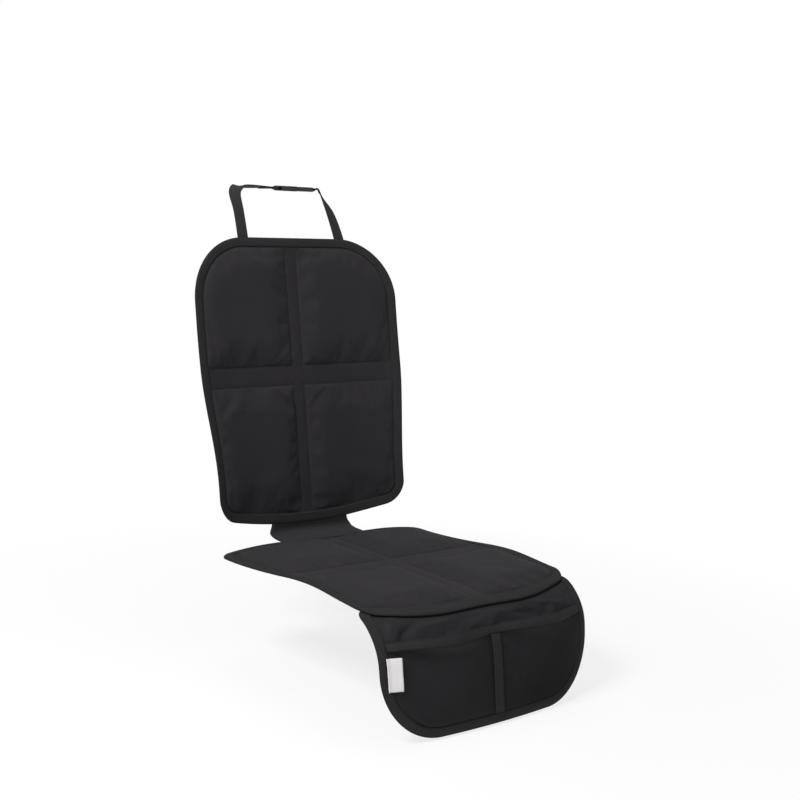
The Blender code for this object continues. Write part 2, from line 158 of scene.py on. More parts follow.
def onMat(x, run, lift):
    # the point in space at (x, run), raised by lift
    half = mat["halfWidth"]
    bow = 1 - (x / half) ** 2
    if run < 0:
        fade = ramp(-run, -mat["seatLow"], 0.520) * ramp(half - abs(x), mat["tapeDepth"], 0.050)
        lift += fade * sum(foldLift(x, run, *each) for each in flapFolds)
        side = max(abs(x) - mat["levelHalfWidth"], 0) / (half - mat["levelHalfWidth"])
        crest = math.exp(-(((run - mat["crestRun"]) / mat["crestLength"]) ** 2))
        lift += side * side * (mat["sideCrest"] * crest - mat["sideDroop"] * ramp(run, *mat["droopRuns"]))
        forward = mat["planBulge"] * bow * ramp(-run, 0.20, profile["flatLength"])
        forward -= mat["flapTwist"] * x / half * ramp(-run, -mat["seatLow"], -mat["flapLow"])
        wave = mat["frontWave"] / 2 * math.cos(2 * math.pi * x / half)
        wave *= ramp(-run, 0.36, -mat["seatLow"]) * ramp(-run, -mat["flapLow"], -mat["hemRun"])
        x -= mat["rearShift"] * ramp(run, *mat["shiftRuns"]) * ramp(run, 0, mat["shiftRuns"][1])
        rise = ramp(-run, 0.25, -mat["seatLow"]) * ramp(-run, -mat["hemRun"], -mat["seatLow"])
        run += wave - mat["seamBow"] * bow * rise
    else:
        lift += sum(foldLift(x, run, *each) for each in backFolds)
        beyond = max(abs(x) - mat["curlStart"], 0) / mat["curlReach"]
        curl = mat["curlHigh"] + (mat["curlLow"] - mat["curlHigh"]) * ramp(run, *mat["curlRuns"])
        lift += curl * beyond * beyond
        low = mat["backLow"]
        dip = min(run / low, 1) * ramp(run, 0.14, low)
        x *= 1 + mat["sideSpread"] * ramp(run, *mat["spreadRuns"])
        x *= 1 - mat["sideTaper"] * ramp(run, *mat["taperRuns"]) * ramp(run, 0, low)
        x -= mat["topShift"] * ramp(run, 0, mat["backHigh"])
        forward = 0
        run -= mat["bottomBow"] * bow * dip
    y, z, lean = sideLine(run)
    return Vector((x, y - forward - lift * math.sin(lean), z + lift * math.cos(lean)))


def roundCorner(x, run, panel):
    low, high, lowRadius, highRadius, half = panel
    upper = run > (low + high) / 2
    radius = highRadius if upper else lowRadius
    across = abs(x) - half + radius
    along = (run - high if upper else low - run) + radius
    if min(across, along) <= 0:
        return x, run
    reach = max(across, along)
    angle = math.pi / 4 * min(across, along) / reach
    near, far = reach * math.sin(angle), reach * math.cos(angle)
    across, along = (far, near) if across > along else (near, far)
    x = math.copysign(across + half - radius, x)
    return x, (high - radius + along if upper else low + radius - along)


backPanel = (mat["backLow"], mat["backHigh"], *mat["backCorners"], mat["halfWidth"])
seatPanel = (mat["seatLow"], mat["seatHigh"], *mat["seatCorners"], mat["halfWidth"])
flapHigh = mat["seatLow"] + mat["flapTuck"]
flapPanel = (mat["flapLow"], flapHigh, mat["flapCorner"], mat["tuckCorner"], mat["halfWidth"])


def nodeMaker(tree):
    def make(kind, inputs=None, **settings):
        node = tree.nodes.new(kind)
        for key, value in settings.items():
            setattr(node, key, value)
        for key, value in (inputs or {}).items():
            if isinstance(value, bpy.types.NodeSocket):
                tree.links.new(value, node.inputs[key])
            else:
                node.inputs[key].default_value = value
        return node

    return make


def newGroup(name, sizes, outputs=("Height", "Shade")):
    # a shader group that takes a vector and the named sizes
    group = bpy.data.node_groups.new(name, "ShaderNodeTree")
    group.interface.new_socket("Vector", in_out="INPUT", socket_type="NodeSocketVector")
    for label, value in sizes.items():
        socket = group.interface.new_socket(label, in_out="INPUT", socket_type="NodeSocketFloat")
        socket.default_value = value
    for label in outputs:
        group.interface.new_socket(label, in_out="OUTPUT", socket_type="NodeSocketFloat")
    make = nodeMaker(group)
    return group, make, make("NodeGroupInput").outputs


def mathNode(make, operation, first, second=0.0, third=None):
    inputs = {0: first, 1: second}
    if third is not None:
        inputs[2] = third
    return make("ShaderNodeMath", inputs, operation=operation).outputs[0]


def noiseNode(make, vector, scale, detail=2.0, roughness=0.5):
    inputs = {"Vector": vector, "Scale": scale, "Detail": detail, "Roughness": roughness}
    return make("ShaderNodeTexNoise", inputs).outputs[0]


def spread(make, value, given=(0.0, 1.0), wanted=(0.0, 1.0)):
    inputs = {0: value, 1: given[0], 2: given[1], 3: wanted[0], 4: wanted[1]}
    return make("ShaderNodeMapRange", inputs).outputs[0]


def wovenGroup():
    # plain weave: over and under threads of the given pitch, with uneven yarn; its Shade is lighter on the
    # threads' crowns and darker between them, which is painted shade, while the yarn's unevenness is real
    group, make, given = newGroup("plainWeave", {"Pitch": 0.001, "Unevenness": 0.3})
    scaled = {0: given["Vector"], "Scale": mathNode(make, "DIVIDE", 1.0, given["Pitch"])}
    scaled = make("ShaderNodeVectorMath", scaled, operation="SCALE").outputs[0]
    parts = make("ShaderNodeSeparateXYZ", {0: scaled}).outputs
    waves = []
    for axis, other in (("X", "Y"), ("Y", "X")):
        across = mathNode(make, "SINE", mathNode(make, "MULTIPLY", parts[axis], math.pi))
        across = mathNode(make, "ABSOLUTE", across)
        row = mathNode(make, "FLOOR", parts[axis])
        along = mathNode(make, "MULTIPLY", parts[other], math.pi)
        phase = mathNode(make, "MULTIPLY_ADD", row, math.pi, along)
        if axis == "Y":
            phase = mathNode(make, "ADD", phase, math.pi / 2)
        over = mathNode(make, "MULTIPLY_ADD", mathNode(make, "SINE", phase), 0.5, 0.5)
        waves.append(mathNode(make, "MULTIPLY", across, over))
    height = mathNode(make, "MAXIMUM", waves[0], waves[1])
    slub = noiseNode(make, scaled, 0.31, 3.0, 0.6)
    uneven = mathNode(make, "MULTIPLY", mathNode(make, "SUBTRACT", slub, 0.5), given["Unevenness"])
    shade = mathNode(make, "ADD", mathNode(make, "MULTIPLY_ADD", height, 0.5, 0.5), uneven)
    make("NodeGroupOutput", {"Height": mathNode(make, "ADD", height, uneven), "Shade": shade})
    return group


def ribGroup():
    # close ribs across a woven tape, each rib broken up by its yarns; its Shade darkens the grooves between
    # ribs, which is painted shade
    group, make, given = newGroup("tapeRibs", {"Rib": 0.0012, "Yarn": 0.0007})
    parts = make("ShaderNodeSeparateXYZ", {0: given["Vector"]}).outputs
    rib = mathNode(make, "DIVIDE", parts["X"], given["Rib"])
    yarn = mathNode(make, "DIVIDE", parts["Y"], given["Yarn"])
    row = mathNode(make, "FLOOR", rib)
    ribs = mathNode(make, "ABSOLUTE", mathNode(make, "SINE", mathNode(make, "MULTIPLY", rib, math.pi)))
    phase = mathNode(make, "MULTIPLY_ADD", row, math.pi / 2, mathNode(make, "MULTIPLY", yarn, math.pi))
    yarns = mathNode(make, "MULTIPLY_ADD", mathNode(make, "SINE", phase), 0.25, 0.75)
    height = mathNode(make, "MULTIPLY", ribs, yarns)
    make("NodeGroupOutput", {"Height": height, "Shade": mathNode(make, "MULTIPLY_ADD", height, 0.45, 0.6)})
    return group


def cloudGroup():
    # broad uneven tone, as cloth has from handling, with a little lint
    group, make, given = newGroup("handledCloth", {"Broad": 9.0, "Lint": 420.0}, ("Tone", "Lint"))
    tone = spread(make, noiseNode(make, given["Vector"], given["Broad"], 4.0, 0.55), (0.3, 0.7))
    lint = spread(make, noiseNode(make, given["Vector"], given["Lint"]), (0.69, 0.78))
    make("NodeGroupOutput", {"Tone": tone, "Lint": lint})
    return group


weaveNodes, ribNodes, cloudNodes = wovenGroup(), ribGroup(), cloudGroup()


def startMaterial(name, roughness, sheen, sheenTint=(1, 1, 1), specular=0.16):
    made = bpy.data.materials.new(name)
    made.use_nodes = True
    make = nodeMaker(made.node_tree)
    shader = made.node_tree.nodes["Principled BSDF"]
    shader.inputs["Roughness"].default_value = roughness
    shader.inputs["Sheen Weight"].default_value = sheen
    shader.inputs["Sheen Roughness"].default_value = 0.45
    shader.inputs["Sheen Tint"].default_value = (*sheenTint, 1)
    shader.inputs["Specular IOR Level"].default_value = specular
    return made, make, shader


def blendColours(make, factor, first, second):
    mix = make("ShaderNodeMix", data_type="RGBA")
    for socket, value in ((mix.inputs[0], factor), (mix.inputs[6], first), (mix.inputs[7], second)):
        if isinstance(value, bpy.types.NodeSocket):
            mix.id_data.links.new(value, socket)
        else:
            socket.default_value = (*value, 1)
    return mix.outputs[2]


def feed(shader, name, socket):
    shader.id_data.links.new(socket, shader.inputs[name])


def wovenParts(make, pattern, sizes, broad):
    # the place on the cloth, the woven pattern there, and the cloth's broad tone
    where = make("ShaderNodeUVMap", uv_map="cloth").outputs[0]
    woven = make("ShaderNodeGroup", {"Vector": where, **sizes}, node_tree=pattern).outputs
    place = make("ShaderNodeTexCoord").outputs["Object"]
    cloud = make("ShaderNodeGroup", {"Vector": place, "Broad": broad}, node_tree=cloudNodes).outputs
    return where, woven, cloud


def bumpFrom(make, shader, height, distance, strength):
    bump = make("ShaderNodeBump", {"Strength": strength, "Distance": distance, "Height": height})
    feed(shader, "Normal", bump.outputs[0])


clothLook = {
    "dark": (0.0130, 0.0118, 0.0134),
    "light": (0.0250, 0.0230, 0.0262),
    "lint": (0.050, 0.047, 0.052),
    "sheenTint": (0.9, 0.86, 0.95),
    "pitch": 0.00085,
    "unevenness": 0.35,
    "broad": 9.0,
    "padSheen": 0.05,
    "flapSheen": 0.02,
}


def clothMaterial(name, sheen):
    look, pitch = clothLook, clothLook["pitch"]
    made, make, shader = startMaterial(name, 0.82, sheen, look["sheenTint"])
    sizes = {"Pitch": pitch, "Unevenness": look["unevenness"]}
    where, weave, cloud = wovenParts(make, weaveNodes, sizes, look["broad"])
    # the weave's Shade, painted shade between threads, joined with the cloth's broad uneven tone
    yarn = mathNode(make, "MULTIPLY", weave["Shade"], 0.65)
    shade = mathNode(make, "MULTIPLY_ADD", cloud["Tone"], 0.35, yarn)
    base = blendColours(make, shade, look["dark"], look["light"])
    base = blendColours(make, mathNode(make, "MULTIPLY", cloud["Lint"], 0.5), base, look["lint"])
    feed(shader, "Base Color", base)
    feed(shader, "Roughness", spread(make, cloud["Tone"], wanted=(0.74, 0.88)))
    bumpFrom(make, shader, weave["Height"], pitch * 0.35, 0.8)
    return made


bindingLook = {
    "dark": (0.0100, 0.0096, 0.0102),
    "light": (0.0260, 0.0250, 0.0264),
    # the rim colour is painted shade on the tape's folded edge
    "rim": (0.0065, 0.0063, 0.0067),
    "rimShadeFrom": (0.0040, 0.0),  # the painted shade on the folded rim starts, and is full, this far from it
    "rib": 0.0011,
    "yarn": 0.0006,
}
webbingLook = {
    "dark": (0.0110, 0.0108, 0.0115),
    "light": (0.0300, 0.0295, 0.0310),
    # the rim colour is painted shade along the webbing's edges
    "rim": (0.0080, 0.0078, 0.0083),
    "rimShadeFrom": (0.0105, 0.0120),  # the painted shade on the webbing's edges starts, and is full, this far from its middle line
    "rib": 0.0016,
    "yarn": 0.0009,
}


def tapeMaterial(name, look):
    made, make, shader = startMaterial(name, 0.78, 0.025)
    where, ribs, cloud = wovenParts(make, ribNodes, {"Rib": look["rib"], "Yarn": look["yarn"]}, 14.0)
    # the ribs' Shade, painted shade in the grooves, joined with the tape's broad uneven tone
    yarn = mathNode(make, "MULTIPLY", ribs["Shade"], 0.7)
    shade = mathNode(make, "MULTIPLY_ADD", cloud["Tone"], 0.3, yarn)
    base = blendColours(make, shade, look["dark"], look["light"])
    # painted shade: the folded rim, or the webbing's edge, is made darker as if turned from the light, and a
    # little uneven at random
    across = mathNode(make, "ABSOLUTE", make("ShaderNodeSeparateXYZ", {0: where}).outputs["Y"])
    rim = spread(make, across, look["rimShadeFrom"])
    rim = mathNode(make, "MULTIPLY", rim, mathNode(make, "MULTIPLY_ADD", cloud["Tone"], -0.5, 0.95))
    feed(shader, "Base Color", blendColours(make, rim, base, look["rim"]))
    feed(shader, "Roughness", spread(make, cloud["Tone"], wanted=(0.70, 0.84)))
    bumpFrom(make, shader, ribs["Height"], look["rib"] * 0.3, 0.8)
    return made


netLook = {"dark": (0.028, 0.028, 0.031), "light": (0.054, 0.053, 0.057), "grain": 900.0, "rough": 0.6}
stitchLook = {"dark": (0.016, 0.016, 0.017), "light": (0.045, 0.044, 0.046), "grain": 1500.0, "rough": 0.5}
labelThreadLook = {"dark": (0.62, 0.60, 0.59), "light": (0.80, 0.78, 0.77), "grain": 1500.0, "rough": 0.5}


def threadMaterial(name, look):
    made, make, shader = startMaterial(name, look["rough"], 0.02)
    grain = noiseNode(make, make("ShaderNodeTexCoord").outputs["Object"], look["grain"])
    tone = spread(make, grain, (0.35, 0.65))
    feed(shader, "Base Color", blendColours(make, tone, look["dark"], look["light"]))
    bumpFrom(make, shader, grain, 0.0001, 0.6)
    return made


plasticLook = {"dark": (0.009, 0.009, 0.0095), "light": (0.017, 0.017, 0.0175), "rough": (0.34, 0.52)}


def plasticMaterial(name):
    made, make, shader = startMaterial(name, 0.42, 0.0, specular=0.5)
    place = make("ShaderNodeTexCoord").outputs["Object"]
    grain = noiseNode(make, place, 1400.0)
    smear = noiseNode(make, place, 60.0, 3.0)
    feed(shader, "Base Color", blendColours(make, smear, plasticLook["dark"], plasticLook["light"]))
    feed(shader, "Roughness", spread(make, smear, (0.3, 0.7), plasticLook["rough"]))
    bumpFrom(make, shader, grain, 0.0001, 0.5)
    return made


labelLook = {"dark": (0.60, 0.59, 0.585), "light": (0.76, 0.75, 0.745), "soil": (0.55, 0.50, 0.47)}


def labelMaterial(name):
    made, make, shader = startMaterial(name, 0.6, 0.05)
    where, ribs, cloud = wovenParts(make, ribNodes, {"Rib": 0.0005, "Yarn": 0.0009}, 60.0)
    # the ribs' Shade paints shade into the label's grooves
    base = blendColours(make, ribs["Shade"], labelLook["dark"], labelLook["light"])
    base = blendColours(make, mathNode(make, "MULTIPLY", cloud["Tone"], 0.06), base, labelLook["soil"])
    feed(shader, "Base Color", base)
    bumpFrom(make, shader, ribs["Height"], 0.00012, 0.6)
    return made


clothFinish = clothMaterial("oxfordCloth", clothLook["padSheen"])
flapFinish = clothMaterial("flapCloth", clothLook["flapSheen"])
tapeFinish = tapeMaterial("bindingTape", bindingLook)
webbingFinish = tapeMaterial("strapWebbing", webbingLook)
netFinish = threadMaterial("netThread", netLook)
stitchFinish = threadMaterial("sewingThread", stitchLook)
labelThread = threadMaterial("labelThread", labelThreadLook)
plasticFinish = plasticMaterial("buckleNylon")
labelFinish = labelMaterial("wovenLabel")
print("materials made")


def newObject(name, data):
    made = bpy.data.objects.new(name, data)
    bpy.context.scene.collection.objects.link(made)
    return made


def meshObject(name, points, edges, faces):
    mesh = bpy.data.meshes.new(name)
    mesh.from_pydata([tuple(p) for p in points], edges, faces)
    return newObject(name, mesh)


def meshPiece(name, points, faces, corners, look):
    # corners holds one (u, v) for each corner of each face
    made = meshObject(name, points, [], faces)
    mesh = made.data
    layer = mesh.uv_layers.new(name="cloth")
    flat = [value for face in corners for uv in face for value in uv]
    layer.data.foreach_set("uv", flat)
    mesh.polygons.foreach_set("use_smooth", [True] * len(mesh.polygons))
    mesh.materials.append(look)
    return made


def faceOutward(made):
    work = bmesh.new()
    work.from_mesh(made.data)
    bmesh.ops.recalc_face_normals(work, faces=work.faces)
    work.to_mesh(made.data)
    work.free()
    return made


def skin(name, rings, us, vs, look, closedRing=False, closedPath=False):
    # quads between neighbouring rings of points; us and vs are one longer where that way is closed
    count, around = len(rings), len(rings[0])
    points = [point for ring in rings for point in ring]
    faces, corners = [], []
    for i in range(count - (0 if closedPath else 1)):
        for j in range(around - (0 if closedRing else 1)):
            i2, j2 = (i + 1) % count, (j + 1) % around
            faces.append((i * around + j, i2 * around + j, i2 * around + j2, i * around + j2))
            corners.append(((us[i], vs[j]), (us[i + 1], vs[j]), (us[i + 1], vs[j + 1]), (us[i], vs[j + 1])))
    if closedRing and not closedPath:
        for i, order in ((0, range(around)), (count - 1, range(around - 1, -1, -1))):
            faces.append(tuple(i * around + j for j in order))
            corners.append(tuple((us[i], vs[j]) for j in order))
    made = meshPiece(name, points, faces, corners, look)
    return faceOutward(made) if closedRing else made


def bake(made):
    graph = bpy.context.evaluated_depsgraph_get()
    mesh = bpy.data.meshes.new_from_object(made.evaluated_get(graph))
    made.modifiers.clear()
    old = made.data
    made.data = mesh
    mesh.name = made.name
    bpy.data.meshes.remove(old)
    return made


def thicken(made, thickness):
    solid = made.modifiers.new("thickness", "SOLIDIFY")
    solid.thickness = thickness
    solid.offset = 0  # as much on each side
    return made


def smoother(made):
    soft = made.modifiers.new("smoother", "SUBSURF")
    soft.levels = soft.render_levels = 1
    return made


settling = {
    "frames": 20,
    "quality": 6,
    "mass": 0.25,
    "stretch": 12,
    "shear": 4,
    "bending": 0.6,
}


def relax(points, faces, setting, most):
    # lets spare cloth settle between its seams; most is how far each point may move, 0 where sewn
    made = meshObject("relaxing", points, [], faces)
    pinned = [index for index, far in enumerate(most) if far == 0]
    made.vertex_groups.new(name="sewn").add(pinned, 1.0, "REPLACE")
    cloth = made.modifiers.new("cloth", "CLOTH")
    cloth.point_cache.frame_start, cloth.point_cache.frame_end = 1, settling["frames"]
    form = cloth.settings
    form.quality = settling["quality"]
    form.mass = settling["mass"]
    form.vertex_group_mass = "sewn"
    form.tension_stiffness = form.compression_stiffness = settling["stretch"]
    form.shear_stiffness = settling["shear"]
    form.bending_stiffness = settling["bending"]
    form.shrink_min = -setting["slack"]
    form.use_pressure = True
    form.uniform_pressure_force = setting["pressure"]
    form.effector_weights.gravity = 0
    for frameNumber in range(1, settling["frames"] + 1):
        bpy.context.scene.frame_set(frameNumber)
    graph = bpy.context.evaluated_depsgraph_get()
    settled = [v.co.copy() for v in made.evaluated_get(graph).data.vertices]
    mesh = made.data
    bpy.data.objects.remove(made, do_unlink=True)
    bpy.data.meshes.remove(mesh)
    bpy.context.scene.frame_set(1)
    moved = []
    for old, new, far in zip(points, settled, most):
        shift = new - old
        if shift.length > far:
            shift *= far / shift.length
        moved.append(old + shift)
    return moved


def gridFaces(wide, tall, start=0, flip=False):
    faces = []
    for row in range(tall - 1):
        for column in range(wide - 1):
            a = start + row * wide + column
            face = (a, a + 1, a + 1 + wide, a + wide)
            faces.append(face[::-1] if flip else face)
    return faces


pads = {
    "full": 0.012,
    "thin": 0.0022,  # where the tape holds the pad's edge
    "channelThin": 0.0030,
    "channelCrown": 0.0014,
    "pulls": 1.5,  # how strongly the small pulls below show
    "reach": 0.048,  # from a seam to the full thickness
    "softness": 0.56,
    "channelHalfWidth": 0.014,
    "backChannel": (0.2905, 0.3305),
    "backChannelX": -0.005,
    "seatChannel": (-0.288, -0.252),
    "clear": 0.0015,  # between the tape's edge and the rise of the pad
    "edgeFade": 0.02,  # pulls and crowns die out this near the edge
    "seamFade": 0.006,  # and this near a seam
    "edgeHold": 0.004,  # cloth this near the tape stays where it is
    "seamHold": 0.0016,  # and this near a seam
    "middle": 0.0035,  # height of the tape's middle
    "frontDip": 0.0009,  # the seat panel's front edge is pulled down where the flap is sewn to it
    "dipFrom": -0.455,
    "inset": 0.0035,  # the cloth ends this far inside the folded tape
    "gridStep": 0.0065,
    "nearSeam": (0.0015, 0.004, 0.008, 0.014),
    "slack": 0.015,  # spare cloth that the stuffing pushes up
    "pressure": 1.6,
    "mostMove": 0.005,
}
# Small pulls in the cloth of the pads' upper side only
padPulls = (
    ((-0.040, 0.350), 42, (0.026, 0.005, 0.0016)),
    ((0.026, 0.352), -38, (0.024, 0.005, 0.0015)),
    ((-0.036, 0.268), -40, (0.028, 0.006, 0.0015)),
    ((0.030, 0.270), 44, (0.026, 0.005, 0.0014)),
    ((-0.120, 0.352), 75, (0.030, 0.009, 0.0012)),
    ((0.120, 0.350), -72, (0.030, 0.009, 0.0012)),
    ((-0.170, 0.250), 25, (0.034, 0.008, 0.0012)),
    ((0.150, 0.240), -30, (0.034, 0.008, 0.0012)),
    ((-0.100, 0.110), 15, (0.050, 0.010, 0.0012)),
    ((0.110, 0.120), -12, (0.050, 0.010, 0.0012)),
    ((-0.150, -0.400), 20, (0.040, 0.009, 0.0012)),
    ((0.140, -0.390), -25, (0.040, 0.009, 0.0012)),
)


def atPad(x, run):
    # the back panel's runs are all above zero, so only the seat panel dips
    return pads["middle"] - pads["frontDip"] * ramp(run, pads["dipFrom"], mat["seatLow"])


def fromEdge(x, run, panel):
    low, high, _, _, half = panel
    return min(half - abs(x), run - low, high - run)


def fromSeam(x, run, channel, middle):
    # below zero between the two seams of a channel
    return min(abs(x - middle) - pads["channelHalfWidth"], max(channel[0] - run, run - channel[1]))


def padHeight(x, run, panel, channel, middle):
    edge = fromEdge(x, run, panel) - mat["tapeDepth"] - pads["clear"]
    if edge <= 0:
        return pads["thin"]
    seam = fromSeam(x, run, channel, middle)
    full, swell = pads["full"], 1
    for distance, thin in ((edge, pads["thin"]), (max(seam, 0), pads["channelThin"])):
        share = 1 - min(distance / pads["reach"], 1)
        swell *= thin / full + (1 - thin / full) * (1 - share * share) ** pads["softness"]
    height, fade = full * swell, ramp(edge, 0, pads["edgeFade"])
    if seam < 0:
        height += pads["channelCrown"] * min(-seam / pads["seamFade"], 1) * fade
    else:
        fade *= ramp(seam, 0, pads["seamFade"])
        height += pads["pulls"] * fade * sum(foldLift(x, run, *each) for each in padPulls)
    return max(height, pads["thin"])


def padBase(x, run, panel):
    # the underside rises to the tape's middle at the edge
    inner = mat["tapeDepth"] + pads["clear"]
    rise = 1 - ramp(fromEdge(x, run, panel), inner, inner + pads["edgeFade"])
    return (atPad(x, run) - pads["thin"] / 2) * rise


def markLine(stops):
    # grid lines between the seams, closer together beside each seam
    marks = []
    for a, b in zip(stops, stops[1:]):
        gap = b - a
        close = [n for n in pads["nearSeam"] if n < gap * 0.4]
        first = close[-1] if close else 0
        count = max(1, round((gap - 2 * first) / pads["gridStep"]))
        marks += [a] + [a + n for n in close]
        marks += evenly(a + first, b - first, count)[1:-1]
        marks += [b - n for n in reversed(close)]
    return marks + [stops[-1]]


def quiltedPad(name, panel, channel, middle):
    low, high, _, _, half = panel
    inset, depth, channelHalf = pads["inset"], mat["tapeDepth"], pads["channelHalfWidth"]
    seams = (middle - channelHalf, middle + channelHalf)
    columns = markLine([-half + inset, -half + depth, *seams, half - depth, half - inset])
    rows = markLine([low + inset, low + depth, *channel, high - depth, high - inset])
    wide, tall = len(columns), len(rows)
    places = [(x, run) for run in rows for x in columns]
    upper, lower, most = [], [], []
    for x, run in places:
        base = padBase(x, run, panel)
        spot = roundCorner(x, run, panel)
        upper.append(onMat(*spot, base + padHeight(x, run, panel, channel, middle)))
        lower.append(onMat(*spot, base))
        held = fromEdge(x, run, panel) < depth + pads["edgeHold"]
        held = held or fromSeam(x, run, channel, middle) < pads["seamHold"]
        most.append(0 if held else pads["mostMove"])
    upper = relax(upper, gridFaces(wide, tall), pads, most)
    total = wide * tall
    faces = gridFaces(wide, tall, 0, True) + gridFaces(wide, tall, total)
    rim = list(range(wide))
    rim += [row * wide + wide - 1 for row in range(1, tall)]
    rim += [(tall - 1) * wide + column for column in range(wide - 2, -1, -1)]
    rim += [row * wide for row in range(tall - 2, 0, -1)]
    for a, b in zip(rim, rim[1:] + rim[:1]):
        faces.append((a, b, b + total, a + total))
    corners = [[places[n % total] for n in face] for face in faces]
    return smoother(faceOutward(meshPiece(name, upper + lower, faces, corners, clothFinish)))


backPad = quiltedPad("quiltedBack", backPanel, pads["backChannel"], pads["backChannelX"])
print("back pad made")
seatPad = quiltedPad("quiltedSeat", seatPanel, pads["seatChannel"], 0)
print("seat pad made")

flapCloth = {
    "thick": 0.0020,
    "lift": -0.004,
    "cadThick": 0.0025,
    "seamRise": 0.0008,  # the flap is pulled up to the seat panel between these runs
    "seamRuns": (-0.530, -0.495),
    "columns": 110,
    "rows": 60,
    "slack": 0.007,
    "pressure": 0.25,
    "mostMove": 0.0035,
    "leastMove": 0.0012,  # below the pockets' mouth
}
# Small creases in the flap's cloth, just below the seam
flapPulls = (
    ((-0.196, -0.512), 62, (0.022, 0.0050, 0.0030)),
    ((-0.168, -0.518), 40, (0.024, 0.0055, -0.0022)),
    ((-0.120, -0.508), 8, (0.045, 0.0050, 0.0020)),
    ((0.020, -0.507), -6, (0.060, 0.0055, 0.0018)),
    ((0.150, -0.514), -24, (0.034, 0.0055, 0.0024)),
)


def atFlap(x, run):
    rise = flapCloth["seamRise"] * ramp(run, *flapCloth["seamRuns"])
    return flapCloth["lift"] + flapCloth["cadThick"] / 2 + rise


def makeFlap():
    inner, depth = mat["halfWidth"] - pads["inset"], mat["tapeDepth"]
    columns = evenly(-inner, inner, flapCloth["columns"])
    rows = evenly(mat["flapLow"] + pads["inset"], flapPanel[1] - pads["inset"], flapCloth["rows"])
    places = [(x, run) for run in rows for x in columns]
    least, points, most = flapCloth["leastMove"], [], []
    for x, run in places:
        side = mat["halfWidth"] - abs(x)
        pulls = ramp(side, depth, 0.030) * sum(foldLift(x, run, *each) for each in flapPulls)
        points.append(onMat(*roundCorner(x, run, flapPanel), atFlap(x, run) + pulls))
        edge = min(side, run - mat["flapLow"], mat["seatLow"] - 0.004 - run)
        free = ramp(run, mat["hemRun"] - 0.010, mat["hemRun"] + 0.006)
        most.append(0 if edge < depth else least + (flapCloth["mostMove"] - least) * free)
    faces = gridFaces(len(columns), len(rows))
    points = relax(points, faces, flapCloth, most)
    corners = [[places[n] for n in face] for face in faces]
    made = meshPiece("frontFlap", points, faces, corners, flapFinish)
    return smoother(thicken(made, flapCloth["thick"]))


tape = {
    "thick": 0.0009,
    "gap": 0.0013,  # half the space between the tape's two sides
    "step": 0.004,
    "pucker": 0.00028,
    "puckerRate": 95,
    "sway": 0.0005,
    "swayRate": 22,
    "stitchInset": 0.0022,
}


def panelOutline(panel, step, top=True):
    # (x, run, outX, outRun) round a panel, counterclockwise, with or without its top side
    low, high, lowRadius, highRadius, half = panel
    points = []

    def line(start, end, out):
        count = max(1, round(math.dist(start, end) / step))
        for share in evenly(0, 1, count)[1:-1]:
            x, run = start[0] + (end[0] - start[0]) * share, start[1] + (end[1] - start[1]) * share
            points.append((x, run, *out))

    def arc(x, run, radius, start):
        count = max(6, round(radius * math.pi / 2 / step))
        for angle in evenly(start, start + 90, count):
            out = (math.cos(math.radians(angle)), math.sin(math.radians(angle)))
            points.append((x + radius * out[0], run + radius * out[1], *out))

    def leftSide():
        arc(-highX, high - highRadius, highRadius, 90)
        line((-half, high - highRadius), (-half, low + lowRadius), (-1, 0))

    lowX, highX = half - lowRadius, half - highRadius
    if not top:
        leftSide()
    arc(-lowX, low + lowRadius, lowRadius, 180)
    line((-lowX, low), (lowX, low), (0, -1))
    arc(lowX, low + lowRadius, lowRadius, 270)
    line((half, low + lowRadius), (half, high - highRadius), (1, 0))
    arc(highX, high - highRadius, highRadius, 0)
    if top:
        line((highX, high), (-highX, high), (0, 1))
        leftSide()
    return points


def tapeSection(depth, gap, thick):
    # (inward, lift) round the folded tape: its outer face, then back along its inner one
    outer, inner = gap + thick, gap
    side = [(depth, outer - 0.0001), (depth * 0.82, outer + 0.0001), (depth * 0.5, outer + 0.0004)]
    side += [(0.0050, outer + 0.0003), (0.0024, outer * 0.92), (0.0009, outer * 0.66), (0.0002, outer * 0.34)]
    within = [(0.0010, inner * 0.30), (0.0018, inner * 0.66), (0.0030, inner * 0.93)]
    within += [(depth * 0.5, inner + 0.0004), (depth * 0.82, inner + 0.0001), (depth, inner)]
    front = side + [(0, 0)] + [(inward, -lift) for inward, lift in reversed(side)]
    back = [(inward, -lift) for inward, lift in reversed(within)] + [(0.0008, 0)] + within
    return front + back


def foldedTape(name, path, middle, gap, thick, depth, closed, seed):
    section = tapeSection(depth, gap, thick)
    rings, us, length = [], [], 0.0
    for n, (x, run, outX, outRun) in enumerate(path):
        if n:
            length += math.dist(path[n - 1][:2], (x, run))
        us.append(length)
        ring = []
        for inward, lift in section:
            held = ramp(inward, 0.003, depth)
            pucker = Vector((length * tape["puckerRate"], math.copysign(4, lift), seed))
            pucker = noise.noise(pucker) * tape["pucker"]
            sway = noise.noise(Vector((length * tape["swayRate"], 9, seed))) * tape["sway"]
            far = inward + held * sway
            px, pr = x - outX * far, run - outRun * far
            ring.append(onMat(px, pr, middle(px, pr) + lift + math.copysign(held * abs(pucker), lift)))
        rings.append(ring)
    vs = [0.0]
    for a, b in zip(section, section[1:] + section[:1]):
        vs.append(vs[-1] + math.dist(a, b))
    nose = vs[section.index((0, 0))]
    vs = [v - nose for v in vs]
    if closed:
        us.append(length + math.dist(path[-1][:2], path[0][:2]))
    return skin(name, rings, us, vs, tapeFinish, True, closed)


